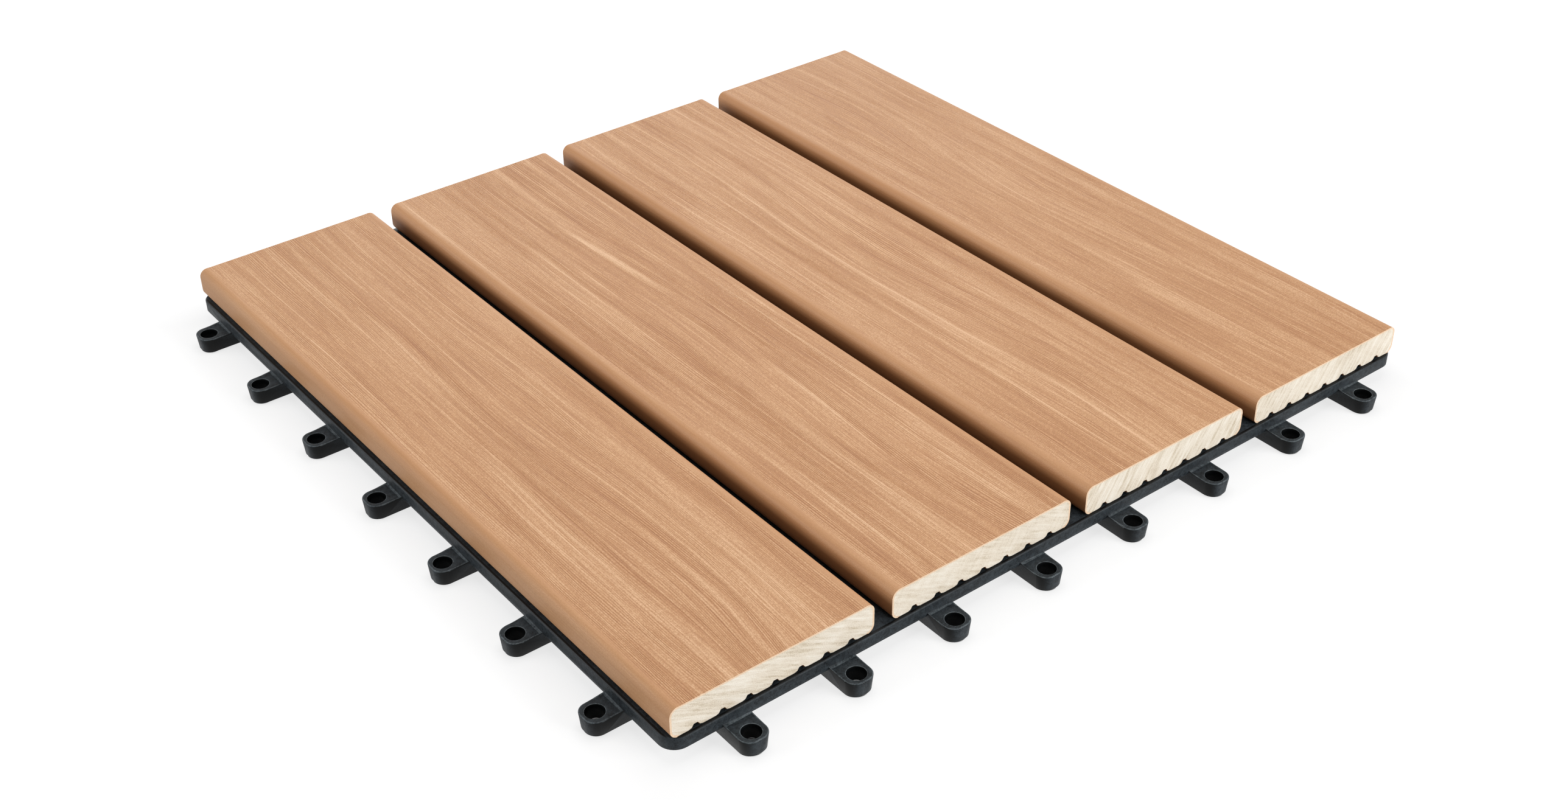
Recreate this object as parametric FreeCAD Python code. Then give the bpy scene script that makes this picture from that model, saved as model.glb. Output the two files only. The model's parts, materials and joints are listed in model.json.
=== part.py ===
import FreeCAD, Part
import math
import os

from FreeCAD import Vector

# Interlocking deck tile
# Four slats of capped composite board lie side by side on a moulded plastic grid and are held by
# screws driven up from below. Loops stand out from two sides of the grid, and the pegs under the
# other two sides drop into the loops of the next tile.
# Lengths are in millimetres. X runs across the slats, Y along them and Z up. The pieces are drawn
# about the middle of the grid, on the ground. They are then moved together, so that the origin
# lies on the ground under the middle of the whole footprint, loops included.

# Slats
SLAT_COUNT = 4
SLAT_WIDTH = 70.0
SLAT_LENGTH = 289.0
SLAT_THICKNESS = 10.5
SLAT_GAP = 6.6
SLAT_CORNER_RADIUS = 2.8

# Bell-shaped grooves along the underside of a slat
GROOVE_COUNT = 7
GROOVE_FLARE = 4.6
GROOVE_FLARE_DEPTH = 0.35
GROOVE_MOUTH = 2.4
GROOVE_TOP = 1.1
GROOVE_DEPTH = 1.35
EDGE_TO_GROOVE = 8.3

# Grid: rim, top flange, ribs, and the seams that close the view through the gaps
FOOT_HEIGHT = 5.2
RIM_HEIGHT = 4.1
RIM_LEDGE = 1.05
RIM_WALL = 2.2
RIM_CORNER_RADIUS = 5.5
RIM_EDGE_BEVEL = 0.4
FLANGE_WIDTH = 9.5
FLANGE_THICKNESS = 1.8
SEAM_LAP = 3.6
RIB_THICKNESS = 1.8
RIBS_PER_SLAT = 2
CROSS_RIB_COUNT = 9
CROSS_RIB_MARGIN = 24.0
FOOT_ARM = 4.2

# Loops along the front and the left side
LOOP_WIDTH = 9.4
LOOP_REACH = 10.5
LOOP_TIP_RADIUS = 3.6
LOOP_GROUND_GAP = 0.6
LOOP_LAP = 0.6
LOOP_DRAFT_DEGREES = 4.0
LOOP_HOLE_DIAMETER = 5.8
LOOP_HOLE_REACH = 6.4
LOOP_SLOPE = 0.5
LOOP_ROOT_DEPTH = 7.0
LOOP_POCKET_WALL = 1.9
FRONT_LOOP_COUNT = 8
FRONT_LEFT_MARGIN = 22.0
FRONT_RIGHT_MARGIN = 24.5
SIDE_LOOP_COUNT = 7
SIDE_REAR_MARGIN = 20.1
SIDE_FRONT_MARGIN = 26.1

# Pegs under the back and the right side
TILE_GAP = 2.4
PEG_CLEARANCE = 0.2
PEG_WEB = 1.8
PEG_GROUND_GAP = 1.0
BAY_SIDE_CLEARANCE = 0.5
BAY_ROOF_CLEARANCE = 0.3

# Screws
SCREW_DIAMETER = 3.9
SCREW_BITE = 7.4
SCREW_HEAD_ACROSS_FLATS = 7.0
SCREW_HEAD_HEIGHT = 2.4
SCREW_PLATE_CLEARANCE = 0.3
PILOT_CLEARANCE = 0.05
PILOT_EXTRA_DEPTH = 0.4

# Places and sizes that follow from the driving dimensions
SLAT_PITCH = SLAT_WIDTH + SLAT_GAP
GROOVE_PITCH = (SLAT_WIDTH - 2 * EDGE_TO_GROOVE) / (GROOVE_COUNT - 1)
GRID_WIDTH = SLAT_COUNT * SLAT_PITCH - SLAT_GAP + 2 * RIM_LEDGE
GRID_LENGTH = SLAT_LENGTH + 2 * RIM_LEDGE
GRID_TOP = FOOT_HEIGHT + RIM_HEIGHT
FLANGE_BOTTOM = GRID_TOP - FLANGE_THICKNESS
LEFT = -GRID_WIDTH / 2
RIGHT = GRID_WIDTH / 2
FRONT = -GRID_LENGTH / 2
REAR = GRID_LENGTH / 2
LOOP_TOP = FOOT_HEIGHT + LOOP_LAP
LOOP_HEIGHT = LOOP_TOP - LOOP_GROUND_GAP
PEG_INSET = LOOP_HOLE_REACH - TILE_GAP
BAY_DEPTH = LOOP_REACH - TILE_GAP + BAY_ROOF_CLEARANCE
BAY_WIDTH = LOOP_WIDTH + 2 * BAY_SIDE_CLEARANCE
BAY_ROOF = LOOP_TOP + BAY_ROOF_CLEARANCE
RIB_PITCH = SLAT_PITCH / RIBS_PER_SLAT
SEAM_WIDTH = SLAT_GAP + 2 * SEAM_LAP


def evenly(first, last, count):
    """Places from first to last, equally spaced."""
    return [first + (last - first) * k / (count - 1) for k in range(count)]


def slat_centres():
    """The middle line of each slat, across the tile."""
    half = (SLAT_COUNT - 1) / 2
    return [(k - half) * SLAT_PITCH for k in range(SLAT_COUNT)]


def gap_centres():
    """The middle line of each gap between two slats."""
    centres = slat_centres()
    return [(left + right) / 2 for left, right in zip(centres, centres[1:])]


def long_rib_places():
    """The ribs along the slats, evenly spaced so that none stands in a gap between two slats."""
    half = (SLAT_COUNT * RIBS_PER_SLAT - 1) / 2
    return [(k - half) * RIB_PITCH for k in range(SLAT_COUNT * RIBS_PER_SLAT)]


def cross_rib_places():
    """The ribs across the slats."""
    return evenly(FRONT + CROSS_RIB_MARGIN, REAR - CROSS_RIB_MARGIN, CROSS_RIB_COUNT)


def front_row():
    """Loops along the front, and the pegs under the back that stand in line with them."""
    return evenly(LEFT + FRONT_LEFT_MARGIN, RIGHT - FRONT_RIGHT_MARGIN, FRONT_LOOP_COUNT)


def side_row():
    """Loops along the left side, and the pegs under the right side in line with them."""
    return evenly(REAR - SIDE_REAR_MARGIN, FRONT + SIDE_FRONT_MARGIN, SIDE_LOOP_COUNT)


def loop_stations():
    """Each loop's place on the rim, and its turn about Z from facing the front."""
    front = [(x, FRONT, 0) for x in front_row()]
    side = [(LEFT, y, -90) for y in side_row()]
    return front + side


def peg_stations():
    """Each peg's place on the rim, and its turn about Z from facing the front."""
    rear = [(x, REAR, 180) for x in front_row()]
    right = [(RIGHT, y, 90) for y in side_row()]
    return rear + right


def screw_places():
    """Two screws to a slat, at opposite ends, each into the land beside the middle groove."""
    rows = cross_rib_places()
    first = (rows[0] + rows[1]) / 2
    last = (rows[-1] + rows[-2]) / 2
    aside = GROOVE_PITCH / 2
    places = []
    for centre in slat_centres():
        places.append((centre - aside, first))
        places.append((centre + aside, last))
    return places


def at_station(shape, station):
    """A copy of a shape that was drawn at the front, moved to its place on the rim."""
    x, y, turn = station
    copy = shape.copy()
    copy.Placement = FreeCAD.Placement(Vector(x, y, 0), FreeCAD.Rotation(Vector(0, 0, 1), turn))
    return copy


def block(low, high):
    """A box from its lowest corner to its highest."""
    size = Vector(*high) - Vector(*low)
    return Part.makeBox(size.x, size.y, size.z, Vector(*low))


def line(start, end):
    """A straight edge."""
    return Part.LineSegment(Vector(*start), Vector(*end)).toShape()


def arc(start, middle, end):
    """A round edge through three points."""
    return Part.Arc(Vector(*start), Vector(*middle), Vector(*end)).toShape()


def quarter(centre, radius, first_degrees, height, upright):
    """A quarter circle, counter-clockwise, in an upright or a level plane."""
    points = []
    for step in (0, 45, 90):
        angle = math.radians(first_degrees + step)
        across = centre[0] + radius * math.cos(angle)
        along = centre[1] + radius * math.sin(angle)
        if upright:
            points.append((across, height, along))
        else:
            points.append((across, along, height))
    return arc(*points)


def groove_points(centre, y):
    """One groove across the underside, from left to right."""
    half_profile = (
        (GROOVE_FLARE / 2, 0),
        (GROOVE_MOUTH / 2, GROOVE_FLARE_DEPTH),
        (GROOVE_TOP / 2, GROOVE_DEPTH),
    )
    left = [(centre - across, y, height) for across, height in half_profile]
    right = [(centre + across, y, height) for across, height in reversed(half_profile)]
    return left + right


def slat_section():
    """The section of a slat at its front end, standing on its lands."""
    y = -SLAT_LENGTH / 2
    side = SLAT_WIDTH / 2
    corner = side - SLAT_CORNER_RADIUS
    low = SLAT_CORNER_RADIUS
    high = SLAT_THICKNESS - SLAT_CORNER_RADIUS
    underside = [(-corner, y, 0)]
    for k in range(GROOVE_COUNT):
        underside += groove_points((k - (GROOVE_COUNT - 1) / 2) * GROOVE_PITCH, y)
    underside.append((corner, y, 0))
    edges = [line(start, end) for start, end in zip(underside, underside[1:])]
    edges.append(quarter((corner, low), SLAT_CORNER_RADIUS, -90, y, True))
    edges.append(line((side, y, low), (side, y, high)))
    edges.append(quarter((corner, high), SLAT_CORNER_RADIUS, 0, y, True))
    edges.append(line((corner, y, SLAT_THICKNESS), (-corner, y, SLAT_THICKNESS)))
    edges.append(quarter((-corner, high), SLAT_CORNER_RADIUS, 90, y, True))
    edges.append(line((-side, y, high), (-side, y, low)))
    edges.append(quarter((-corner, low), SLAT_CORNER_RADIUS, 180, y, True))
    return Part.Face(Part.Wire(edges))


def pilot_holes():
    """The holes that the screws cut in the slats."""
    radius = SCREW_DIAMETER / 2 + PILOT_CLEARANCE
    depth = SCREW_BITE + PILOT_EXTRA_DEPTH
    holes = [Part.makeCylinder(radius, depth, Vector(x, y, GRID_TOP)) for x, y in screw_places()]
    return Part.makeCompound(holes)


def slats():
    """The slats, each sawn off square at both ends and seated on the grid."""
    board = slat_section().extrude(Vector(0, SLAT_LENGTH, 0))
    holes = pilot_holes()
    bodies = {}
    for number, centre in enumerate(slat_centres(), start=1):
        seat = Vector(centre, 0, GRID_TOP)
        bodies[f"slat_{number}"] = board.translated(seat).cut(holes)
    return bodies


def rim_outline():
    """The outline of the grid in plan, with rounded corners, at the underside of the rim."""
    radius = RIM_CORNER_RADIUS
    z = FOOT_HEIGHT
    x = RIGHT - radius
    y = REAR - radius
    edges = [
        line((-x, FRONT, z), (x, FRONT, z)),
        quarter((x, -y), radius, -90, z, False),
        line((RIGHT, -y, z), (RIGHT, y, z)),
        quarter((x, y), radius, 0, z, False),
        line((x, REAR, z), (-x, REAR, z)),
        quarter((-x, y), radius, 90, z, False),
        line((LEFT, y, z), (LEFT, -y, z)),
        quarter((-x, -y), radius, 180, z, False),
    ]
    return Part.Face(Part.Wire(edges))


def spans_between(first, walls, last):
    """The clear spans between walls, each wall given as its middle and its thickness."""
    walls = sorted(walls)
    starts = [first] + [middle + thickness / 2 for middle, thickness in walls]
    ends = [middle - thickness / 2 for middle, thickness in walls] + [last]
    return list(zip(starts, ends))


def cells():
    """The spaces under the flange, between the rim and the ribs."""
    long_ribs = [(x, RIB_THICKNESS) for x in long_rib_places()]
    cross_ribs = [(y, RIB_THICKNESS) for y in cross_rib_places()]
    columns = spans_between(LEFT + RIM_WALL, long_ribs, RIGHT - RIM_WALL)
    rows = spans_between(FRONT + RIM_WALL, cross_ribs, REAR - RIM_WALL)
    return [
        block((left, front, FOOT_HEIGHT), (right, rear, FLANGE_BOTTOM))
        for left, right in columns
        for front, rear in rows
    ]


def has_screw_plate(column, row):
    """Whether a plate for a screw closes the top of this cell."""
    return any(
        column[0] < x < column[1] and row[0] < y < row[1]
        for x, y in screw_places()
    )


def cell_mouths():
    """Where the cells are open at the top, beside the seams.

    Along the front and the back the flange covers part of the first row of cells. At the left and
    the right it reaches the first rib.
    """
    walls = [(x, RIB_THICKNESS) for x in long_rib_places()]
    walls += [(x, SEAM_WIDTH) for x in gap_centres()]
    cross_ribs = [(y, RIB_THICKNESS) for y in cross_rib_places()]
    columns = spans_between(LEFT, walls, RIGHT)[1:-1]
    rows = spans_between(FRONT + FLANGE_WIDTH, cross_ribs, REAR - FLANGE_WIDTH)
    return [
        block((column[0], row[0], FLANGE_BOTTOM), (column[1], row[1], GRID_TOP))
        for column in columns
        for row in rows
        if not has_screw_plate(column, row)
    ]


def rim_and_ribs():
    """The rim with its bevelled top edge, and inside it the flange, the seams and the ribs."""
    outside = rim_outline().extrude(Vector(0, 0, RIM_HEIGHT))
    top_edges = [e for e in outside.Edges if e.BoundBox.ZMin > GRID_TOP - RIM_EDGE_BEVEL]
    outside = outside.makeChamfer(RIM_EDGE_BEVEL, top_edges)
    return outside.cut(cells() + cell_mouths())


def plate_holes():
    """The holes in the screw plates."""
    radius = SCREW_DIAMETER / 2 + SCREW_PLATE_CLEARANCE
    holes = []
    for x, y in screw_places():
        holes.append(Part.makeCylinder(radius, RIM_HEIGHT, Vector(x, y, FOOT_HEIGHT)))
    return holes


def in_a_bay(x, y):
    """Whether a foot at this crossing would stand in the way of the next tile's loop."""
    beside = BAY_WIDTH / 2 + FOOT_ARM
    behind = BAY_DEPTH + FOOT_ARM
    under_rear = REAR - y < behind and any(abs(x - place) < beside for place in front_row())
    under_right = RIGHT - x < behind and any(abs(y - place) < beside for place in side_row())
    return under_rear or under_right


def feet():
    """Cross-shaped feet in staggered rows, under the crossings of every second cross rib."""
    half = RIB_THICKNESS / 2
    crosses = []
    for i, x in enumerate(long_rib_places()):
        for j, y in enumerate(cross_rib_places()):
            staggered = j % 2 == 0 and (i + j // 2) % 2 == 0
            if staggered and not in_a_bay(x, y):
                across = block((x - FOOT_ARM, y - half, 0), (x + FOOT_ARM, y + half, FOOT_HEIGHT))
                along = block((x - half, y - FOOT_ARM, 0), (x + half, y + FOOT_ARM, FOOT_HEIGHT))
                crosses.append(across)
                crosses.append(along)
    return crosses


def loop_body():
    """A loop from its root inside the rim to its tip, a little smaller at the ground by its draft.

    The rim's outer face is at y = 0 and the loop reaches towards -Y. The wedge is made with its
    height along Y, so it is stood up at the end.
    """
    shrink = LOOP_HEIGHT * math.tan(math.radians(LOOP_DRAFT_DEGREES))
    half = LOOP_WIDTH / 2
    body = Part.makeWedge(
        shrink - half, 0, -LOOP_ROOT_DEPTH,
        -LOOP_ROOT_DEPTH, -half,
        half - shrink, LOOP_HEIGHT, LOOP_REACH - shrink,
        LOOP_REACH, half,
    )
    tip_edges = [
        e for e in body.Edges
        if e.BoundBox.ZMin > LOOP_HOLE_REACH and e.BoundBox.YLength > LOOP_HEIGHT / 2
    ]
    body = body.makeFillet(LOOP_TIP_RADIUS, tip_edges)
    body.rotate(Vector(0, 0, 0), Vector(1, 0, 0), 90)
    return body.translated(Vector(0, 0, LOOP_GROUND_GAP))


def loop():
    """One loop, with the small slope where its top meets the rim and its root behind the rim."""
    half = LOOP_WIDTH / 2
    section = Part.makePolygon([
        Vector(-half, -LOOP_SLOPE, LOOP_TOP),
        Vector(-half, 0, LOOP_TOP + LOOP_SLOPE),
        Vector(-half, RIM_WALL / 2, LOOP_TOP + LOOP_SLOPE),
        Vector(-half, RIM_WALL / 2, LOOP_TOP),
        Vector(-half, -LOOP_SLOPE, LOOP_TOP),
    ])
    slope = Part.Face(section).extrude(Vector(LOOP_WIDTH, 0, 0))
    riser = block((-half, RIM_WALL / 2, LOOP_TOP), (half, LOOP_ROOT_DEPTH, FLANGE_BOTTOM))
    return loop_body().fuse([slope, riser])


def loop_cuts():
    """What is taken out of a loop: the round hole for a peg, and the pocket that cores its root."""
    radius = LOOP_HOLE_DIAMETER / 2
    hole = Part.makeCylinder(radius, LOOP_HEIGHT, Vector(0, -LOOP_HOLE_REACH, LOOP_GROUND_GAP))
    half = LOOP_WIDTH / 2 - LOOP_POCKET_WALL
    pocket = block(
        (-half, 0, LOOP_GROUND_GAP),
        (half, LOOP_ROOT_DEPTH - LOOP_POCKET_WALL, LOOP_TOP - LOOP_LAP),
    )
    return Part.makeCompound([hole, pocket])


def bay_pad():
    """The thicker place under the flange that carries a peg."""
    half = BAY_WIDTH / 2
    return block((-half, 0, BAY_ROOF), (half, BAY_DEPTH, FLANGE_BOTTOM))


def bay():
    """The space under the rim where the next tile's loop goes in."""
    half = BAY_WIDTH / 2
    return block((-half, -RIM_WALL, 0), (half, BAY_DEPTH, BAY_ROOF))


def peg():
    """One peg of crossed webs that drops into a round loop of the next tile."""
    reach = LOOP_HOLE_DIAMETER / 2 - PEG_CLEARANCE
    half = PEG_WEB / 2
    edge = math.sqrt(reach ** 2 - half ** 2)
    across = block((-edge, PEG_INSET - half, PEG_GROUND_GAP), (edge, PEG_INSET + half, BAY_ROOF))
    along = block((-half, PEG_INSET - edge, PEG_GROUND_GAP), (half, PEG_INSET + edge, BAY_ROOF))
    return across.fuse(along)


def base_grid():
    """The whole moulded grid, as one solid."""
    one_loop = loop()
    one_pad = bay_pad()
    added = feet()
    added += [at_station(one_loop, station) for station in loop_stations()]
    added += [at_station(one_pad, station) for station in peg_stations()]
    grid = rim_and_ribs().fuse(added)

    cuts = loop_cuts()
    one_bay = bay()
    removed = [at_station(cuts, station) for station in loop_stations()]
    removed += [at_station(one_bay, station) for station in peg_stations()]
    grid = grid.cut(removed + plate_holes())

    one_peg = peg()
    grid = grid.fuse([at_station(one_peg, station) for station in peg_stations()])
    return grid.removeSplitter()


def screw():
    """One screw standing on the axis, its six-sided head under the plate and its shank upwards."""
    bottom = FLANGE_BOTTOM - SCREW_HEAD_HEIGHT
    corner = SCREW_HEAD_ACROSS_FLATS / 2 / math.cos(math.radians(30))
    turns = [math.radians(60 * k) for k in range(7)]
    rim_points = [Vector(corner * math.cos(t), corner * math.sin(t), bottom) for t in turns]
    head = Part.Face(Part.makePolygon(rim_points)).extrude(Vector(0, 0, SCREW_HEAD_HEIGHT))
    length = FLANGE_THICKNESS + SCREW_BITE
    shank = Part.makeCylinder(SCREW_DIAMETER / 2, length, Vector(0, 0, FLANGE_BOTTOM))
    return head.fuse(shank)


def slat_screws():
    """All the screws, each a solid of its own."""
    one = screw()
    return Part.makeCompound([one.translated(Vector(x, y, 0)) for x, y in screw_places()])


def main():
    os.makedirs("parts", exist_ok=True)
    nodes = {"base_grid": base_grid(), "slat_screws": slat_screws()}
    nodes.update(slats())
    to_footprint = Vector(LOOP_REACH / 2, LOOP_REACH / 2, 0)
    for name, shape in nodes.items():
        placed = shape.translated(to_footprint)
        placed.exportStep(f"parts/{name}.step")
        print(name, len(placed.Solids), "solids", round(placed.Volume / 1000, 2), "cm3")


main()
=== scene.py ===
# %% [markdown]
# # An interlocking deck tile
# A deck tile is laid without tools on a balcony or a terrace. Four slats of capped wood-plastic
# composite lie side by side on a moulded plastic grid, and loops along two sides of the grid hook
# over pegs under the next tile. The CAD model is the fixed frame: every piece below takes its place
# from it. The lesson dresses it in three steps: slats with an embossed grain, the charcoal grid
# with its softened edges, and the small steel screws underneath.

import json
import math

import bmesh
import bpy
import numpy as np
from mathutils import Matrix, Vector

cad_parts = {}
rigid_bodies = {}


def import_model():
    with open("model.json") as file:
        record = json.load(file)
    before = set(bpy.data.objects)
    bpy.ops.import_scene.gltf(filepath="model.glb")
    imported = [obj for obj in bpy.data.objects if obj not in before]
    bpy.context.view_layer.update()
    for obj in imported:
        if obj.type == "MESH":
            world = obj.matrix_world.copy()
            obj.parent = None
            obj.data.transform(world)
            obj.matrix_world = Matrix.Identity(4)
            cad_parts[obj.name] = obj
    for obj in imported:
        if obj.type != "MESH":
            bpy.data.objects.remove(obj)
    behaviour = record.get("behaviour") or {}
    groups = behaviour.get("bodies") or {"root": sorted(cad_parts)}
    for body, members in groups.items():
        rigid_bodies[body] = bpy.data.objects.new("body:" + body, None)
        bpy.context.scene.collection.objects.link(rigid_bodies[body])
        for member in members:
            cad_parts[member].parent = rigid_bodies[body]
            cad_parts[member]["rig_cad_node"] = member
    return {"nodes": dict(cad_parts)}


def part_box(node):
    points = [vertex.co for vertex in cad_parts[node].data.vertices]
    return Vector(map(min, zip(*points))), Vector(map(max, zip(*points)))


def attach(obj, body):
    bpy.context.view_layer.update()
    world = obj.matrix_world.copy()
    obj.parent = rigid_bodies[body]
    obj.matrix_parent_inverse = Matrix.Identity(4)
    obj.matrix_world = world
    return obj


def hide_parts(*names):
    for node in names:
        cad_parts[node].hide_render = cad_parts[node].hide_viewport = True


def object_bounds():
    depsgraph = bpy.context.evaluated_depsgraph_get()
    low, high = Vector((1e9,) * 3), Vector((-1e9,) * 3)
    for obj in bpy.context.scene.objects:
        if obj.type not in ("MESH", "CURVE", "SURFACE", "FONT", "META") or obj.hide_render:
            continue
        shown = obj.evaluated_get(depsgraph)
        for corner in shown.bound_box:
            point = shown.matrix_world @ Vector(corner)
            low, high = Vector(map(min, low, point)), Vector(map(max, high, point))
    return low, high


MM = 0.001
for leftover in list(bpy.data.objects):
    bpy.data.objects.remove(leftover)
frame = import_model()
cad_low, cad_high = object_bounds()
print("CAD box, mm:", [round((b - a) / MM, 1) for a, b in zip(cad_low, cad_high)])

# %% [markdown]
# ## Working by hand, in code
# A Blender operator acts on whatever is selected, so each step below first says what it works on.
# Two helpers do that: one makes an object the only selected one, and one works in edit mode and
# selects the edges or faces that pass a test, such as one on their place. In these tests, places
# nearer to each other than a hundredth of a millimetre count as the same.

# %% Selecting things
NEAR = 0.01 * MM


def only(piece):
    """Selects one object and nothing else."""
    bpy.ops.object.select_all(action="DESELECT")
    piece.select_set(True)
    bpy.context.view_layer.objects.active = piece


def pick(piece, kind, test):
    """In edit mode, selects the edges or faces that pass the test, and counts them."""
    bpy.ops.mesh.select_mode(type=kind)
    bpy.ops.mesh.select_all(action="DESELECT")
    shape = bmesh.from_edit_mesh(piece.data)
    found = [part for part in (shape.edges if kind == "EDGE" else shape.faces) if test(part)]
    for part in found:
        part.select_set(True)
    shape.select_flush_mode()
    bmesh.update_edit_mesh(piece.data)
    return len(found)


# %% [markdown]
# ## One slat, from a strip
# The real slat leaves a die as an endless bar, so its section is the same all along: a flat top,
# four rounded corners and seven bell-shaped grooves underneath, which save material and let air
# and water through. One way is to bend a dense grid round the section. It is quicker to draw the
# section first with one long face per strip, as an extrusion, and to cut the long faces into rows
# at the end. The start is a flat grid with many narrow strips, because the grain is pressed into
# the top later and needs points there.

# %% Sizes of the slat's section
slat_low, slat_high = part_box("slat_1")
SLAT_WIDTH, SLAT_LENGTH, SLAT_THICKNESS = slat_high - slat_low
CORNER = 2.8 * MM
CORNER_STEPS = 7
TOP_STRIPS = 380
GROOVES = 7
GROOVE_PITCH = 8.9 * MM
GROOVE_FLARE_DEPTH = 0.35 * MM
GROOVE_DEPTH = 1.35 * MM
GROOVE_HALF_PROFILE = ((2.3 * MM, 0), (1.2 * MM, GROOVE_FLARE_DEPTH), (0.55 * MM, GROOVE_DEPTH))
middle = (slat_low + slat_high) / 2
corner_left, corner_right = slat_low.x + CORNER, slat_high.x - CORNER
corner_low, corner_high = slat_low.z + CORNER, slat_high.z - CORNER
side_height = SLAT_THICKNESS - 2 * CORNER
print("slat, mm:", [round(size / MM, 2) for size in (SLAT_WIDTH, SLAT_LENGTH, SLAT_THICKNESS)])

# %% The flat top
bpy.ops.object.select_all(action="DESELECT")
bpy.ops.mesh.primitive_grid_add(
    x_subdivisions=TOP_STRIPS, y_subdivisions=1, size=1, location=(middle.x, middle.y, slat_high.z)
)
blank = bpy.context.object
blank.name = "slat_blank"
blank.scale = (SLAT_WIDTH - 2 * CORNER, SLAT_LENGTH, 1)
bpy.ops.object.transform_apply(location=True, rotation=True, scale=True)
print("strips in the top:", len(blank.data.polygons))

# %% [markdown]
# The corner is turned as on a lathe: the long edge at the side of the top is spun a quarter turn
# about the line at the corner's centre. Then it is drawn straight down, spun again, and led along
# the underside through each groove's points until it meets the other side.

# %% Two ways to lead the edge on
def turn_corner(x, z):
    """Spins the selected edge a quarter turn about the line along the slat at x and z."""
    centre = (x, middle.y, z)
    bpy.ops.mesh.spin(steps=CORNER_STEPS, angle=math.pi / 2, center=centre, axis=(0, 1, 0))


def draw_on(across, up):
    """Draws the selected edge on in a straight line, which leaves one more strip behind it."""
    bpy.ops.mesh.extrude_region_move(TRANSFORM_OT_translate={"value": (across, 0, up)})


# %% Round the left side
bpy.ops.object.mode_set(mode="EDIT")
found = pick(blank, "EDGE", lambda e: all(v.co.x < corner_left + NEAR for v in e.verts))
turn_corner(corner_left, corner_high)
for _ in range(2):
    draw_on(0, -side_height / 2)
turn_corner(corner_left, corner_low)
print("edges led round the side:", found)

# %% Along the underside
underside = []
for k in range(GROOVES):
    centre = middle.x + (k - (GROOVES - 1) / 2) * GROOVE_PITCH
    underside += [(centre - across, up) for across, up in GROOVE_HALF_PROFILE]
    underside += [(centre + across, up) for across, up in reversed(GROOVE_HALF_PROFILE)]
underside.append((corner_right, 0))
here = (corner_left, 0)
for there in underside:
    draw_on(there[0] - here[0], there[1] - here[1])
    here = there
print("points along the underside:", len(underside) + 1)

# %% Up the right side to the top again
turn_corner(corner_right, corner_low)
for _ in range(2):
    draw_on(0, side_height / 2)
turn_corner(corner_right, corner_high)
bpy.ops.mesh.select_all(action="SELECT")
bpy.ops.mesh.remove_doubles(threshold=NEAR)
print("points on the section:", len(bmesh.from_edit_mesh(blank.data).verts) // 2)

# %% [markdown]
# ## The sawn ends
# The saw leaves both ends open to view: a cream core inside a cap that is a little over half a
# millimetre thick. Each end is closed with one face, which is the only kind of face with more than
# fifty corners, and insetting that face gives the cap its own ring. The inset is done in two steps,
# because the saw also breaks the sharp lower edge away: the outer line of that edge moves a third
# of a millimetre into the slat, and what is left there is a thin dark line of shade between the
# slat and the grid.

# %% Close and inset the ends
CAP_WALL = 0.62 * MM
EDGE_BREAK = 0.25 * MM
MANY_CORNERS = 50
pick(blank, "EDGE", lambda e: e.is_boundary and all(v.co.y < middle.y for v in e.verts))
bpy.ops.mesh.edge_face_add()
pick(blank, "EDGE", lambda e: e.is_boundary and all(v.co.y > middle.y for v in e.verts))
bpy.ops.mesh.edge_face_add()
bpy.ops.mesh.select_all(action="SELECT")
bpy.ops.mesh.normals_make_consistent(inside=False)
found = pick(blank, "FACE", lambda f: len(f.verts) > MANY_CORNERS)
bpy.ops.mesh.inset(thickness=EDGE_BREAK, use_even_offset=True)
bpy.ops.mesh.inset(thickness=CAP_WALL - EDGE_BREAK, use_even_offset=True)
print("ends closed:", found)

# %% Break the lower edge
BREAK_DEPTH = 0.35 * MM
half_flat = SLAT_WIDTH / 2 - CORNER


def low_outline(e, y):
    """Whether an edge lies on the outline of the end at y, along the underside or in a groove."""
    at_end = all(abs(v.co.y - y) < NEAR for v in e.verts)
    low_down = all(v.co.z < slat_low.z + GROOVE_DEPTH + NEAR for v in e.verts)
    between_corners = all(abs(v.co.x - middle.x) < half_flat + NEAR for v in e.verts)
    on_outline = any(abs(f.normal.y) < 0.5 for f in e.link_faces)
    return at_end and low_down and between_corners and on_outline


for y, inward in ((slat_low.y, BREAK_DEPTH), (slat_high.y, -BREAK_DEPTH)):
    found = pick(blank, "EDGE", lambda e: low_outline(e, y))
    bpy.ops.transform.translate(value=(0, inward, 0))
    print("edges of the underside moved in:", found)
bpy.ops.object.mode_set(mode="OBJECT")
print("faces with the rings:", len(blank.data.polygons))
print("blank, mm:", [round(d / MM, 2) for d in blank.dimensions])

# %% Cut the long faces into rows
ROW_CUTS = (15, 12)
LONG = 5 * MM
bpy.ops.object.mode_set(mode="EDIT")
for cuts in ROW_CUTS:
    pick(blank, "EDGE", lambda e: abs(e.verts[0].co.y - e.verts[1].co.y) > LONG)
    bpy.ops.mesh.subdivide(number_cuts=cuts)
bpy.ops.object.mode_set(mode="OBJECT")
print("rows:", (ROW_CUTS[0] + 1) * (ROW_CUTS[1] + 1), "faces:", len(blank.data.polygons))

# %% [markdown]
# ## Four slats, each with its own grain
# An embossing roller presses a wood grain into the hot cap, harder at some times than at others.
# No two slats of a tile show the same stretch of the roller. The grain has three parts: fibres a
# little over half a millimetre apart, raised lines about three millimetres apart that run the
# length of the slat, and slow bands. All three follow one flow, which wanders a little everywhere
# and swings out in the middle of the slat as round a knot. Fibres and lines are the contours of
# that flow. The height is worked out for every point of the top, and the point sinks by up to an
# eighth of a millimetre. What the height was made from is also kept on the mesh, so that colour and
# relief agree: the finish takes the cosine of the kept phase itself, and so the fibres stay crisp
# between the points of the mesh.

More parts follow.
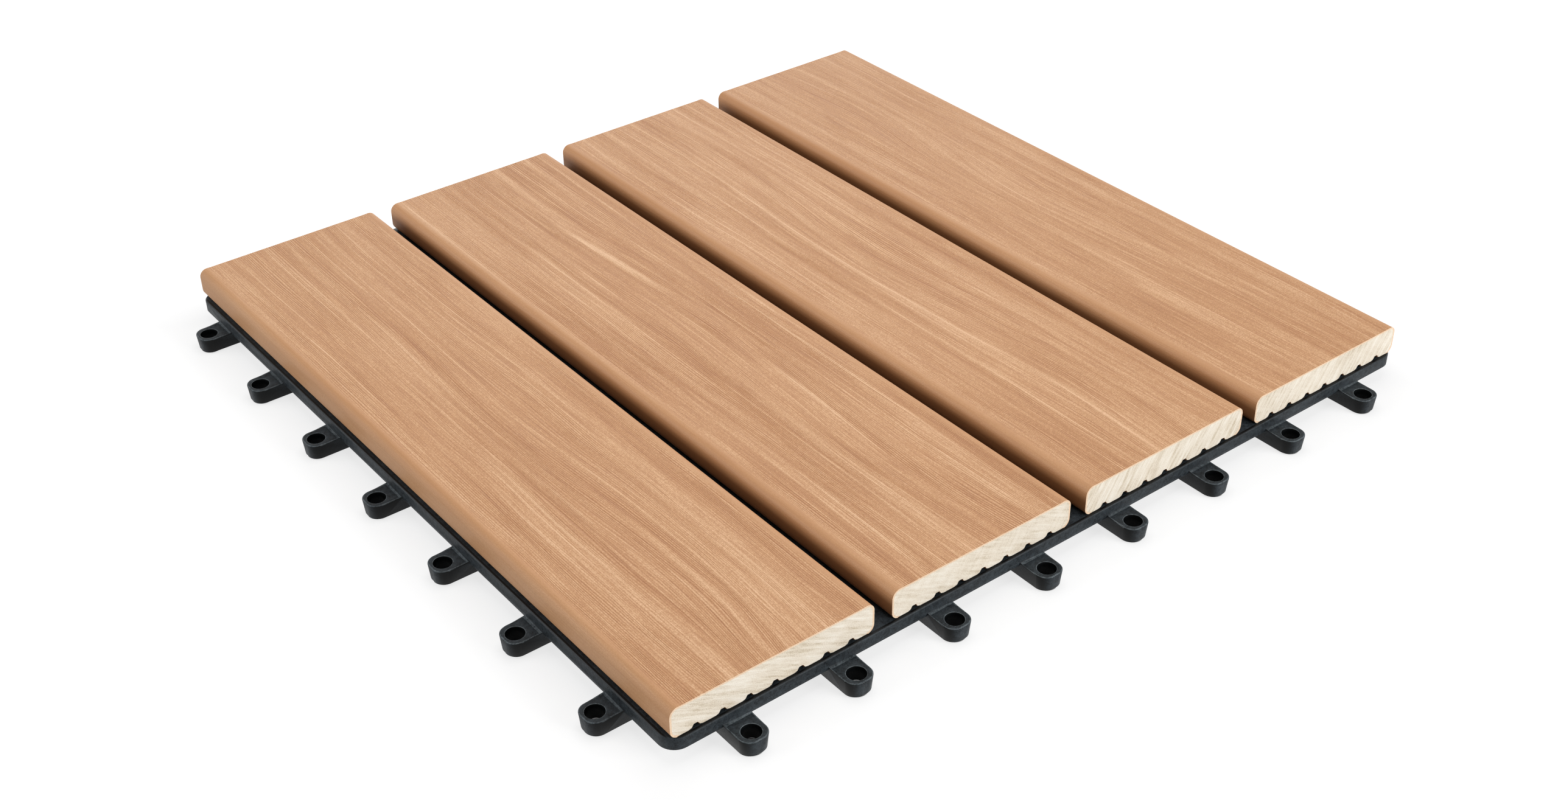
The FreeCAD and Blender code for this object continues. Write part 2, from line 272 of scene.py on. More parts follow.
# %% A stretched random field
TABLE_SIZE = 512
TABLE_START = 200


def ease(share):
    """A share from 0 to 1 that starts and ends gently."""
    return share * share * (3 - 2 * share)


def field(across, along, cell_across, cell_along, seed):
    """Smooth noise between -1 and 1, with cells of the given size in metres."""
    table = np.random.default_rng(seed).uniform(-1, 1, (TABLE_SIZE, TABLE_SIZE))
    column, row = across / cell_across + TABLE_START, along / cell_along + TABLE_START
    i, j = np.floor(column).astype(int), np.floor(row).astype(int)
    u, v = ease(column - i), ease(row - j)
    i, j = i % (TABLE_SIZE - 1), j % (TABLE_SIZE - 1)
    near = table[i, j] * (1 - u) + table[i + 1, j] * u
    far = table[i, j + 1] * (1 - u) + table[i + 1, j + 1] * u
    return near * (1 - v) + far * v


# %% The flow of the grain
SLOW_DRIFT = 1.3 * MM
QUICK_DRIFT = 0.45 * MM
KNOT_PLACE = 4 * MM
KNOT_REACH = 15 * MM
KNOT_SWING = 6 * MM


def stream(across, along, seed):
    """Where a point lies across the fibres, when they are followed back to a straight start."""
    drift = SLOW_DRIFT * field(across, along, 16 * MM, 90 * MM, seed)
    drift += QUICK_DRIFT * field(across, along, 5 * MM, 30 * MM, seed + 1)
    by_knot = np.exp(-(((across - KNOT_PLACE) / KNOT_REACH) ** 2))
    swing = KNOT_SWING * by_knot * field(across, along, 40 * MM, 100 * MM, seed + 2)
    return across + drift + swing


# %% Fibres, lines and bands
FIBRE_PITCH = 0.62 * MM
FIBRE_WANDER = 0.8
FIBRE_STRENGTH, STRENGTH_CHANGE, LEAST_STRENGTH = 0.65, 0.6, 0.15
LINE_PITCH = 3.1 * MM
LINE_SHARPNESS = 14
LINES_SHOWN, SHOWN_CHANGE = 0.25, 1.3
MEAN_HEIGHT, BAND_HEIGHT, LINE_HEIGHT = 0.6, 0.13, 0.34


def wave(phase):
    """A wave between 0 and 1 that is highest at each whole number."""
    return 0.5 + 0.5 * np.cos(2 * np.pi * phase)


def grain(flow, along, seed):
    """The slow height of lines and bands, and the phase and strength of the fibres between them."""
    phase = flow / FIBRE_PITCH + FIBRE_WANDER * field(flow, along, 2.2 * MM, 60 * MM, seed + 3)
    strength = FIBRE_STRENGTH + STRENGTH_CHANGE * field(flow, along, 3 * MM, 45 * MM, seed + 4)
    line_phase = flow / LINE_PITCH + field(flow, along, 6 * MM, 300 * MM, seed + 5)
    shown = LINES_SHOWN + SHOWN_CHANGE * field(flow, along, LINE_PITCH, 55 * MM, seed + 6)
    bands = BAND_HEIGHT * field(flow, along, 2.6 * MM, 110 * MM, seed + 7)
    lines = LINE_HEIGHT * wave(line_phase) ** LINE_SHARPNESS * np.clip(shown, 0, 1)
    return np.clip(MEAN_HEIGHT + bands + lines, 0, 1), phase, np.clip(strength, LEAST_STRENGTH, 1)


# %% Reading and keeping numbers on a mesh
def places_of(mesh):
    """The points of a mesh, one row for each."""
    flat = np.empty(len(mesh.vertices) * 3)
    mesh.vertices.foreach_get("co", flat)
    return flat.reshape(-1, 3)


def keep(mesh, name, values, domain="POINT"):
    """Stores one number for each point, or each corner, of a mesh."""
    kept = mesh.attributes.new(name, "FLOAT", domain)
    kept.data.foreach_set("value", values.astype(np.float32))


# %% [markdown]
# Shade is painted into the cap's colour where the slats lie in shade, as a share at each point. The
# share of painted shade is nothing on the top, a little low on the tile's outer sides, much more in
# the gaps between two slats, and nearly all in the grooves. In a gap it grows over the first two
# fifths of the way down the side, and then it stays the same.

# %% Where shade is painted
OUTER_SHADE, GAP_SHADE, GROOVE_SHADE = 0.12, 0.8, 0.92
GAP_SHADE_GROWTH = 0.4
tile_left = slat_low.x
tile_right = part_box("slat_4")[1].x


def soil(points, from_side):
    """The share of painted shade at each point. from_side is how far a point is inside the flat
    part.
    """
    low, high = points[:, 2].min(), points[:, 2].max()
    down = np.clip((high - CORNER - points[:, 2]) / side_height, 0, 1)
    in_gap = GAP_SHADE * ease(np.clip(down / GAP_SHADE_GROWTH, 0, 1))
    outer = (points[:, 0] < tile_left + CORNER) | (points[:, 0] > tile_right - CORNER)
    on_side = np.where(outer, OUTER_SHADE * down**2, in_gap)
    on_side[from_side > NEAR] = 0
    below = (points[:, 2] < low + GROOVE_DEPTH + NEAR) & (from_side > -NEAR)
    in_groove = np.clip((points[:, 2] - low) / GROOVE_FLARE_DEPTH, 0, 1) * below
    return np.maximum(on_side, GROOVE_SHADE * in_groove)


# %% Press the grain
GRAIN_DEPTH = 0.13 * MM
VALLEY_DEPTH = 0.5
EDGE_FADE = 1.6 * MM
SIDE_TONE, SIDE_RELIEF = 0.5, 0.3
SEED_SHIFT = 10 * MM


def press(slat, seed, force):
    """Sinks the points of the flat top, and keeps what the finish needs to know about each."""
    mesh = slat.data
    points = places_of(mesh)
    low, high = points.min(0), points.max(0)
    across = points[:, 0] - (low[0] + high[0]) / 2
    along = points[:, 1] - (low[1] + high[1]) / 2
    around = across + np.sign(across) * (high[2] - points[:, 2])
    flow = stream(around, along, seed)
    slow, phase, strength = grain(flow, along, seed)
    slow = MEAN_HEIGHT + force * (slow - MEAN_HEIGHT)
    strength *= force**0.5
    valleys = strength * wave(phase) ** 2
    from_side = half_flat - np.abs(across)
    pressed = np.clip(from_side / EDGE_FADE, 0, 1) * (points[:, 2] > high[2] - NEAR)
    height = np.clip(slow - VALLEY_DEPTH * valleys, 0, 1)
    keep(mesh, "slow", slow * pressed + SIDE_TONE * (1 - pressed))
    keep(mesh, "phase", phase)
    keep(mesh, "strength", strength * pressed)
    keep(mesh, "flow", flow + seed * SEED_SHIFT)
    keep(mesh, "relief", SIDE_RELIEF + (1 - SIDE_RELIEF) * pressed)
    # painted shade, kept for the cap's colour: much in the gaps and grooves, a little low on the
    # outer sides
    keep(mesh, "soil", soil(points, from_side))
    points[:, 2] -= GRAIN_DEPTH * (1 - height) * pressed
    mesh.vertices.foreach_set("co", points.ravel())
    mesh.update()
    return height[pressed > 0.5]


# %% [markdown]
# Each slat has its own row of three numbers: the seed of its stretch of the roller, how hard it was
# pressed, and how steep the saw's streaks are on its ends, from 0, flat, to 1.

# %% Copy the blank four times
GRAINS = ((11, 1.05, 0.0), (37, 1.3, 0.3), (59, 1.0, 1.0), (83, 0.7, 0.8))
SLAT_SHARP = math.radians(35)
slats = []
for number, (seed, force, steep) in enumerate(GRAINS, start=1):
    node = f"slat_{number}"
    slat = blank.copy()
    slat.data = blank.data.copy()
    slat.name = f"capped_slat_{number}"
    bpy.context.collection.objects.link(slat)
    only(slat)
    slat.location.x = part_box(node)[0].x - slat_low.x
    bpy.ops.object.transform_apply(location=True, rotation=True, scale=True)
    heights = press(slat, seed, force)
    keep(slat.data, "steep", np.full(len(slat.data.vertices), steep))
    bpy.ops.object.shade_smooth_by_angle(angle=SLAT_SHARP)
    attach(slat, "root")
    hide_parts(node)
    slats.append(slat)
    print(slat.name, "mean height of the grain:", round(float(heights.mean()), 3))
bpy.data.objects.remove(blank)

# %% [markdown]
# ## The moulded grid
# The grid is one injection moulding. Steel moulds have no knife-sharp edges, so each edge of the
# real grid is slightly round, and that is where it catches the light. The CAD solid already has
# the whole form. A copy of it is merged into one skin, its flat faces are joined up again, and a
# bevel softens what is left of its edges. The copy is a piece of its own, so it loses the mark that
# makes the original a CAD node.

# %% A clean copy of the grid
SAME_POINT = 0.002 * MM
SAME_PLANE = math.radians(1)


def joined_copy(node, name):
    """A copy of a CAD node with its triangles merged and its flat faces joined."""
    source = frame["nodes"][node]
    piece = source.copy()
    piece.data = source.data.copy()
    piece.name = name
    piece.parent = None
    del piece["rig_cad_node"]
    bpy.context.collection.objects.link(piece)
    only(piece)
    bpy.ops.object.mode_set(mode="EDIT")
    bpy.ops.mesh.select_all(action="SELECT")
    bpy.ops.mesh.remove_doubles(threshold=SAME_POINT)
    bpy.ops.mesh.dissolve_limited(angle_limit=SAME_PLANE)
    bpy.ops.object.mode_set(mode="OBJECT")
    return piece


grid = joined_copy("base_grid", "moulded_grid")
print("grid faces after joining:", len(grid.data.polygons), "edges:", len(grid.data.edges))

# %% [markdown]
# The rim of the next tile slides over the loops, so their top edges are rounder than the rest:
# nearly half a millimetre round the outline and a quarter round the hole. These edges are picked
# by their height and by whether they are truly sharp, since the joined faces also keep a few flat
# edges between a hole and the outline.

# %% Where the loops and their holes are
LOOP_TOP = 5.8 * MM
LOOP_REACH = 10.5 * MM
HOLE_REACH = 6.4 * MM
HOLE_RADIUS = 2.9 * MM
FRONT_ROW = (-123.7 * MM, 131.7 * MM, 8)
SIDE_ROW = (-114.2 * MM, 130.7 * MM, 7)
grid_low, grid_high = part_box("base_grid")
rim_left = grid_low.x + LOOP_REACH
rim_front = grid_low.y + LOOP_REACH
front_holes = [(x, rim_front - HOLE_REACH) for x in np.linspace(*FRONT_ROW)]
side_holes = [(rim_left - HOLE_REACH, y) for y in np.linspace(*SIDE_ROW)]
holes = np.array(front_holes + side_holes)
print("holes in front:", len(front_holes), "and on the left side:", len(side_holes))

# %% Picking the edges of the loops
SHARP = math.radians(40)
CLEAR_OF_RIM = 0.4 * MM
HOLE_MARGIN = 0.05 * MM


def loop_top_edge(e):
    """Whether an edge is a sharp one on the top of a loop, clear of the rim."""
    if not e.is_manifold or e.calc_face_angle() < SHARP:
        return False
    level = all(abs(v.co.z - LOOP_TOP) < NEAR for v in e.verts)
    clear = all(min(v.co.x - rim_left, v.co.y - rim_front) < -CLEAR_OF_RIM for v in e.verts)
    return level and clear


def from_hole(x, y):
    """How far a place is from the axis of the nearest hole."""
    return float(np.hypot(holes[:, 0] - x, holes[:, 1] - y).min())


def round_a_hole(e):
    """Whether an edge belongs to one of the holes."""
    return all(from_hole(v.co.x, v.co.y) < HOLE_RADIUS + HOLE_MARGIN for v in e.verts)


# %% [markdown]
# A bevel can give its new faces a material of their own. That marks them, and the mark is used
# further down to make the rubbed edges paler, as wear and as a painted highlight.

# %% Round the tops of the loops
HOLE_ROUNDING = 0.25 * MM
OUTLINE_ROUNDING = 0.42 * MM
PLAIN, RUBBED_HIGHLIT = 0, 1


def round_edges(width, steps):
    """Rounds the selected edges and marks the new faces."""
    bpy.ops.mesh.bevel(
        offset=width, segments=steps, affect="EDGES", clamp_overlap=True, material=RUBBED_HIGHLIT
    )


grid.data.materials.clear()
for _ in (PLAIN, RUBBED_HIGHLIT):
    grid.data.materials.append(None)
bpy.ops.object.mode_set(mode="EDIT")
rims = pick(grid, "EDGE", lambda e: loop_top_edge(e) and round_a_hole(e))
round_edges(HOLE_ROUNDING, 2)
outlines = pick(grid, "EDGE", loop_top_edge)
round_edges(OUTLINE_ROUNDING, 3)
bpy.ops.object.mode_set(mode="OBJECT")
print("edges round the holes:", rims, "edges round the loops:", outlines)

# %% Soften the other edges
soften = grid.modifiers.new("soft edges", "BEVEL")
soften.limit_method = "ANGLE"
soften.angle_limit = SHARP
soften.width = 0.2 * MM
soften.segments = 2
soften.use_clamp_overlap = True
soften.material = RUBBED_HIGHLIT
only(grid)
bpy.ops.object.modifier_apply(modifier=soften.name)
bpy.ops.object.shade_smooth_by_angle(angle=SHARP)
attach(grid, "root")
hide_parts("base_grid")
print("grid faces with soft edges:", len(grid.data.polygons))

# %% [markdown]
# Only the loops' edges that face up are made pale, partly as wear from handling and from the next
# tile and partly as a painted highlight where light falls on them, so the other marked faces go
# back to plain.

# %% Rubbed edges with a painted highlight
ROOT_REACH = 0.3 * MM
ROOT_RISE = 1 * MM
LOOKS_UP = 0.25


def rubbed_and_highlit(face):
    """Whether a marked face looks up, where a highlight is painted, and lies on a loop or where a
    loop meets the rim.
    """
    on_loop = min(face.center.x - rim_left, face.center.y - rim_front) < ROOT_REACH
    faces_up = face.normal.z > LOOKS_UP and face.center.z < LOOP_TOP + ROOT_RISE
    return face.material_index == RUBBED_HIGHLIT and on_loop and faces_up


kinds = [RUBBED_HIGHLIT if rubbed_and_highlit(face) else PLAIN for face in grid.data.polygons]
grid.data.polygons.foreach_set("material_index", kinds)
print("rubbed faces:", kinds.count(RUBBED_HIGHLIT))

# %% [markdown]
# The mould is polished where it has to slide off the plastic, along the side walls of the loops and
# inside their holes, and these walls are also painted black as shade. How much polish and painted
# shade each corner has comes from its place and its normal: it grows as the wall turns sideways, is
# full in a hole, and is nothing on a face that looks up or down.

# %% Polished walls, painted black as shade
WALL_MARGIN = 0.1 * MM
TURN_START, TURN_SPAN = 0.3, 0.5
LEVEL = 0.5


def polish_and_shade_of(mesh):
    """The share of polish and painted shade at each corner of the grid's faces."""
    owner = np.empty(len(mesh.loops), dtype=np.int64)
    mesh.loops.foreach_get("vertex_index", owner)
    places = places_of(mesh)[owner]
    normals = np.empty(len(mesh.loops) * 3)
    mesh.corner_normals.foreach_get("vector", normals)
    normals = np.abs(normals.reshape(-1, 3))
    on_front = places[:, 1] < rim_front - WALL_MARGIN
    on_side = places[:, 0] < rim_left - WALL_MARGIN
    sideways = np.where(on_front, normals[:, 0], np.where(on_side, normals[:, 1], 0))
    polish = np.clip((sideways - TURN_START) / TURN_SPAN, 0, 1)
    to_axis = np.min([np.hypot(places[:, 0] - x, places[:, 1] - y) for x, y in holes], axis=0)
    polish[to_axis < HOLE_RADIUS + WALL_MARGIN] = 1
    polish[normals[:, 2] > LEVEL] = 0
    return polish


polish = polish_and_shade_of(grid.data)
keep(grid.data, "polish", polish, "CORNER")
print("corners on polished walls:", int((polish > 0.5).sum()))

# %% [markdown]
# ## Shader sums as Python
# A finish is a small calculation: a noise here, a blend there. The class below wraps one socket of
# a material, so that `0.5 * noise + 0.2` adds the Math nodes by itself. Any other node comes from
# its `node` method.

# %% The wire class
class Wire:
    """One output socket in a material's node tree."""

    def __init__(self, tree, socket=None):
        self.tree = tree
        self.socket = socket

    def node(self, kind, settings, sockets, output=0):
        """Adds a node, sets it up, fills or links its sockets, and returns one of its outputs."""
        made = self.tree.nodes.new(kind)
        for name, value in settings.items():
            if name == "stops":
                stops = made.color_ramp.elements
                while len(stops) < len(value):
                    stops.new(0.5)
                for stop, (position, shade) in zip(stops, value):
                    stop.position, stop.color = position, shade
            else:
                setattr(made, name, value)
        for name, value in sockets.items():
            if isinstance(value, Wire):
                self.tree.links.new(value.socket, made.inputs[name])
            else:
                made.inputs[name].default_value = value
        return Wire(self.tree, made.outputs[output])

    def maths(self, operation, first, second=0.0):
        """Adds a Math node on two wires or numbers."""
        return self.node("ShaderNodeMath", {"operation": operation}, {0: first, 1: second})

    def __add__(self, other):
        return self.maths("ADD", self, other)

    def __sub__(self, other):
        return self.maths("SUBTRACT", self, other)

    def __rsub__(self, other):
        return self.maths("SUBTRACT", other, self)

    def __mul__(self, other):
        return self.maths("MULTIPLY", self, other)

    __radd__ = __add__
    __rmul__ = __mul__


# %% Starting and finishing a material
def colour(red, green, blue):
    """A colour as picked from a screen, 0 to 255, in the linear numbers that shaders use."""
    def linear(value):
        value = value / 255
        return value / 12.92 if value <= 0.04045 else ((value + 0.055) / 1.055) ** 2.4

    return (linear(red), linear(green), linear(blue), 1)


def finish(name, constants):
    """A new material: its wire, its shader node and the object's own coordinates."""
    material = bpy.data.materials.new(name)
    material.use_nodes = True
    shader = material.node_tree.nodes["Principled BSDF"]
    for socket, value in constants.items():
        shader.inputs[socket].default_value = value
    wire = Wire(material.node_tree)
    place = wire.node("ShaderNodeTexCoord", {}, {}, "Object")
    return material, wire, shader, place


def connect(wire, shader, base, roughness, bump):
    """Leads a colour, a roughness and a bump into the shader."""
    for name, value in (("Base Color", base), ("Roughness", roughness), ("Normal", bump)):
        wire.tree.links.new(value.socket, shader.inputs[name])


# %% Nodes that every finish uses
def noise(wire, place, cell, detail=2.0, turn=(0, 0, 0)):
    """Noise whose cells have the given size in metres along X, Y and Z, after the turn."""
    sockets = {"Vector": place, "Rotation": turn, "Scale": cell}
    laid = wire.node("ShaderNodeMapping", {"vector_type": "TEXTURE"}, sockets)
    return wire.node("ShaderNodeTexNoise", {}, {"Vector": laid, "Scale": 1.0, "Detail": detail})


def blend(wire, share, first, second):
    """From the first colour to the second as share goes from 0 to 1."""
    settings = {"data_type": "RGBA", "clamp_factor": True}
    return wire.node("ShaderNodeMix", settings, {0: share, 6: first, 7: second}, 2)


def ramp(wire, share, stops):
    """A colour for each share, through the given stops."""
    return wire.node("ShaderNodeValToRGB", {"stops": stops}, {"Fac": share})


def raise_surface(wire, height, distance, strength):
    """A bump whose full height is the given distance."""
    sockets = {"Height": height, "Distance": distance, "Strength": strength}
    return wire.node("ShaderNodeBump", {}, sockets)


def kept(wire, name):
    """A number that was stored on the points or corners of the mesh."""
    return wire.node("ShaderNodeAttribute", {"attribute_name": name}, {}, "Fac")


def axes(wire, place, letters):
    """The coordinates of a place along the given axes."""
    return [wire.node("ShaderNodeSeparateXYZ", {}, {"Vector": place}, axis) for axis in letters]


# %% [markdown]
# ## The cap's finish
# The cap is a tan polymer, drier and lighter on the raised lines and darker in the valleys between
# the fibres. Hair-fine streaks and a few long dark pores are too small for the mesh. They are noise
# in the kept flow, so they bend with the grain: the hairs are the noise itself, and a pore is its
# contour at one half, which runs on and on as a thin line. Slow bands and a fine crumb make the tan
# uneven. The sides were only wiped by the die, so all of it is weaker there. Where painted shade
# was kept, the tan goes over to a dark brown, which stands in for shade in the gaps and grooves.

# %% The cap
TAN_DARK = colour(162, 108, 69)
TAN = colour(193, 143, 100)
TAN_LIGHT = colour(230, 188, 149)
# dark brown painted as shade in the gaps and grooves
SHADE_BROWN = colour(124, 80, 44)
PORE_SHARPNESS = 28
cap, wire, shader, place = finish("tan cap", {"Specular IOR Level": 0.34})
ripple = wire.maths("COSINE", kept(wire, "phase") * (2 * math.pi)) * 0.5 + 0.5
valley = ripple * ripple * kept(wire, "strength")
relief = kept(wire, "relief")
(along,) = axes(wire, place, "Y")
fibre_place = wire.node("ShaderNodeCombineXYZ", {}, {"X": kept(wire, "flow"), "Y": along})
hair = noise(wire, fibre_place, (0.42 * MM, 22 * MM, MM), 3.0) - 0.5
pore_field = noise(wire, fibre_place, (2.2 * MM, 90 * MM, MM), 2.0) - 0.5
pores = wire.maths("MAXIMUM", 1 - wire.maths("ABSOLUTE", pore_field) * PORE_SHARPNESS)
crumb = noise(wire, place, (0.28 * MM, 0.4 * MM, 0.28 * MM), 3.0) - 0.5
band = noise(wire, place, (9 * MM, 160 * MM, 9 * MM), 2.0) - 0.5
fine = (hair * 0.85 - pores * 0.16) * relief
uneven = fine + crumb * 1.1 * relief + band * 0.4
tone = kept(wire, "slow") * 0.85 - valley * 0.4 + uneven + 0.11
unshaded_tan = ramp(wire, tone, [(0.0, TAN_DARK), (0.52, TAN), (1.0, TAN_LIGHT)])
# painted shade: the tan goes over to dark brown by the kept share of shade
cap_colour = blend(wire, kept(wire, "soil"), unshaded_tan, SHADE_BROWN)
cap_bump = raise_surface(wire, fine * 0.6 + crumb * 0.6 - valley * 0.4, 0.12 * MM, 0.8)
connect(wire, shader, cap_colour, hair * 0.3 + 0.54, cap_bump)
print("cap nodes:", len(cap.node_tree.nodes))

# %% [markdown]
# ## The core and the cut edge
# The core is cream, and the saw has drawn slanting streaks over it. The slats come from different
# cuts, so the streaks lie flatter on some ends and steeper on others. The cut edge of the cap is
# pale orange, because its inside has never met the weather.

# %% The sawn core
CREAM_SHADE = colour(198, 181, 154)
CREAM = colour(234, 222, 203)
CREAM_LIGHT = colour(249, 241, 227)
FLAT_SLANT = math.radians(25)
STEEP_SLANT = math.radians(-58)
STREAK_CELL = (8 * MM, 8 * MM, 0.9 * MM)
core, wire, shader, place = finish("cream core", {"Specular IOR Level": 0.25})
flat = noise(wire, place, STREAK_CELL, 2.0, (0, FLAT_SLANT, 0))
steep = noise(wire, place, STREAK_CELL, 2.0, (0, STEEP_SLANT, 0))
streak = flat + (steep - flat) * kept(wire, "steep")
cloud = noise(wire, place, (9 * MM, 9 * MM, 6 * MM), 2.0)
dust = noise(wire, place, (0.3 * MM, 0.3 * MM, 0.3 * MM), 2.0)
tone = streak * 1.3 + cloud * 0.6 + dust * 0.9 - 0.83
core_colour = ramp(wire, tone, [(0.1, CREAM_SHADE), (0.5, CREAM), (0.9, CREAM_LIGHT)])
core_bump = raise_surface(wire, streak * 0.7 + dust * 0.3, 0.2 * MM, 0.7)
connect(wire, shader, core_colour, dust * 0.2 + 0.6, core_bump)
print("core nodes:", len(core.node_tree.nodes))

# %% The cap's cut edge
ORANGE_DARK = colour(234, 196, 160)
ORANGE_PALE = colour(250, 227, 199)
edge, wire, shader, place = finish("cut edge of the cap", {"Specular IOR Level": 0.3})
scuff = noise(wire, place, (0.7 * MM, 0.7 * MM, 0.7 * MM), 3.0)
edge_colour = blend(wire, scuff * 1.6 - 0.3, ORANGE_DARK, ORANGE_PALE)
edge_bump = raise_surface(wire, scuff, 0.1 * MM, 0.5)
connect(wire, shader, edge_colour, scuff * 0.2 + 0.5, edge_bump)
print("cut edge nodes:", len(edge.node_tree.nodes))

# %% Put the three finishes on each slat
CAP, EDGE, CORE = 0, 1, 2
RING_TOP = 2.2 * MM


def slat_finish(face, centre_x):
    """Cap all round, and at the sawn ends the core inside its ring. Below, the ring is core too."""
    if abs(face.normal.y) < 0.9:
        return CAP
    between_corners = abs(face.center.x - centre_x) < half_flat
    below = face.center.z < slat_low.z + RING_TOP and between_corners
    return CORE if below or len(face.vertices) > MANY_CORNERS else EDGE


for slat in slats:
    mesh = slat.data
    mesh.materials.clear()
    for material in (cap, edge, core):
        mesh.materials.append(material)
    xs = [corner[0] for corner in slat.bound_box]
    centre_x = (min(xs) + max(xs)) / 2
    kinds = [slat_finish(face, centre_x) for face in mesh.polygons]
    mesh.polygons.foreach_set("material_index", kinds)
    mesh.update()
print("faces of cap, edge and core:", [kinds.count(kind) for kind in (CAP, EDGE, CORE)])

# %% [markdown]
# ## The grid's finish
# Most of the mould was spark-eroded, which gives the plastic a fine even pimple and a dull grey
# sheen. Recycled black pellets never mix fully, so the charcoal is mottled with paler and darker
# flecks. The polished walls are painted black as shade, and so is the narrow ledge round the slats,
# which stands in for the shade under the slats' edges. Both finishes of the grid are made by one
# function, and the rubbed one, with its painted highlight, is only paler.

# %% Charcoal plastic
# black painted as shade on the loops' side walls, in their holes and on the ledge
SHADE_BLACK = colour(9, 11, 12)
LEDGE_DEPTH = 0.15 * MM


def ledge_shade(wire, place):
    """1 on the ledge round the slats, where it is painted black as shade, and 0 elsewhere."""
    x, y, z = axes(wire, place, "XYZ")
    beyond_x = wire.maths("MAXIMUM", tile_left - x, x - tile_right)
    beyond_y = wire.maths("MAXIMUM", slat_low.y - y, y - slat_high.y)
    beside_slats = wire.maths("GREATER_THAN", wire.maths("MAXIMUM", beyond_x, beyond_y))
    return beside_slats * wire.maths("GREATER_THAN", z, grid_high.z - LEDGE_DEPTH)


def plastic_finish(name, dark, pale):
    """Mottled plastic between two colours, painted black as shade where it is polished and on the
    ledge.
    """
    material, wire, shader, place = finish(name, {"Specular IOR Level": 0.15})
    pimple = noise(wire, place, (0.4 * MM, 0.4 * MM, 0.4 * MM), 3.0)
    flecks = noise(wire, place, (1.4 * MM, 1.4 * MM, 1.4 * MM), 4.0)
    clouds = noise(wire, place, (9 * MM, 9 * MM, 5 * MM), 3.0)
    mottled = blend(wire, pimple * 1.3 + flecks * 1.3 + clouds * 0.7 - 1.2, dark, pale)
    # polish makes these places smoother, and the painted shade makes them black
    polish_or_shade = wire.maths("MAXIMUM", kept(wire, "polish"), ledge_shade(wire, place))
    tone = blend(wire, polish_or_shade, mottled, SHADE_BLACK)
    rough = (pimple * 0.3 + 0.32) * (1 - polish_or_shade * 0.3)
    texture = (pimple * 0.7 + flecks * 0.3) * (1 - polish_or_shade * 0.8)
    connect(wire, shader, tone, rough, raise_surface(wire, texture, 0.16 * MM, 0.7))
    return material


charcoal = plastic_finish("charcoal plastic", colour(11, 15, 18), colour(57, 64, 69))
# paler edges: wear, and a highlight painted on the loops' upward edges
paler_highlit = plastic_finish("rubbed plastic", colour(36, 42, 46), colour(110, 118, 122))
grid.data.materials[PLAIN] = charcoal
grid.data.materials[RUBBED_HIGHLIT] = paler_highlit
print("plastic nodes:", len(charcoal.node_tree.nodes))

# %% [markdown]
# ## The screws
# The screws are seen only from below. Their CAD mesh stays as it is and gets a better material.
# Zinc plating is dull and slightly cloudy, because its crystals lie in all directions.

# %% Zinc-plated steel
steel, wire, shader, place = finish("zinc-plated steel", {"Metallic": 1.0})
crystal = noise(wire, place, (0.9 * MM, 0.9 * MM, 0.9 * MM), 3.0)
steel_colour = blend(wire, crystal, colour(128, 131, 133), colour(178, 178, 173))
steel_bump = raise_surface(wire, crystal, 0.05 * MM, 0.4)
connect(wire, shader, steel_colour, crystal * 0.3 + 0.25, steel_bump)
for slot in frame["nodes"]["slat_screws"].material_slots:
    slot.material = steel
print("screw finishes:", len(frame["nodes"]["slat_screws"].material_slots))

# %% [markdown]
# ## The studio
# The tile lies on a white floor. A soft key lamp stands to the right of the camera, so the sawn
# ends are bright and the sides that face left are in shade, and the sky fills the rest in. A
# translucent table lit from below makes a floor white, so this floor glows for the camera too:
# less so near the tile, where its shadow falls, and not at all under the loops' holes. What glows
# for the camera also glows in a reflection.

# %% Rays that see the background
def direct_rays(wire):
    """1 for what is seen straight, in a reflection or through glass, and 0 for other light."""
    seen = wire.node("ShaderNodeLightPath", {}, {}, "Is Camera Ray")
    for ray in ("Is Glossy Ray", "Is Transmission Ray"):
        seen = wire.maths("MAXIMUM", seen, wire.node("ShaderNodeLightPath", {}, {}, ray))
    return seen


# %% How much of the floor glows
NEAR_GLOW, FAR_GLOW, GLOW_PER_METRE = 0.5, 0.85, 4.0
HOLE_SHADE = HOLE_RADIUS + 0.6 * MM


def from_row(wire, run, aside, start, pitch):
    """The square of the way to the nearest of a row of places, one pitch apart from the start."""
    to_next = wire.maths("PINGPONG", run - start, pitch / 2)
    return to_next * to_next + aside * aside


def glowing_share(wire, place):
    """More of the glow away from the tile, and none under the holes of the loops."""
    x, y = axes(wire, place, "XY")
    beyond_x = wire.maths("ABSOLUTE", x) - cad_high.x
    beyond_y = wire.maths("ABSOLUTE", y) - cad_high.y
    from_tile = wire.maths("MAXIMUM", beyond_x, beyond_y)
    grown = wire.maths("MAXIMUM", from_tile * GLOW_PER_METRE + NEAR_GLOW, NEAR_GLOW)
    (front_x, front_y), (side_x, side_y) = front_holes[0], side_holes[0]
    by_front = from_row(wire, x, y - front_y, front_x, front_holes[1][0] - front_x)
    by_side = from_row(wire, y, x - side_x, side_y, side_holes[1][1] - side_y)
    to_hole = wire.maths("MINIMUM", by_front, by_side)
    off_holes = wire.maths("GREATER_THAN", to_hole, HOLE_SHADE**2)
    shown = wire.maths("MAXIMUM", off_holes, wire.maths("GREATER_THAN", from_tile))
    return wire.maths("MINIMUM", grown, FAR_GLOW) * shown


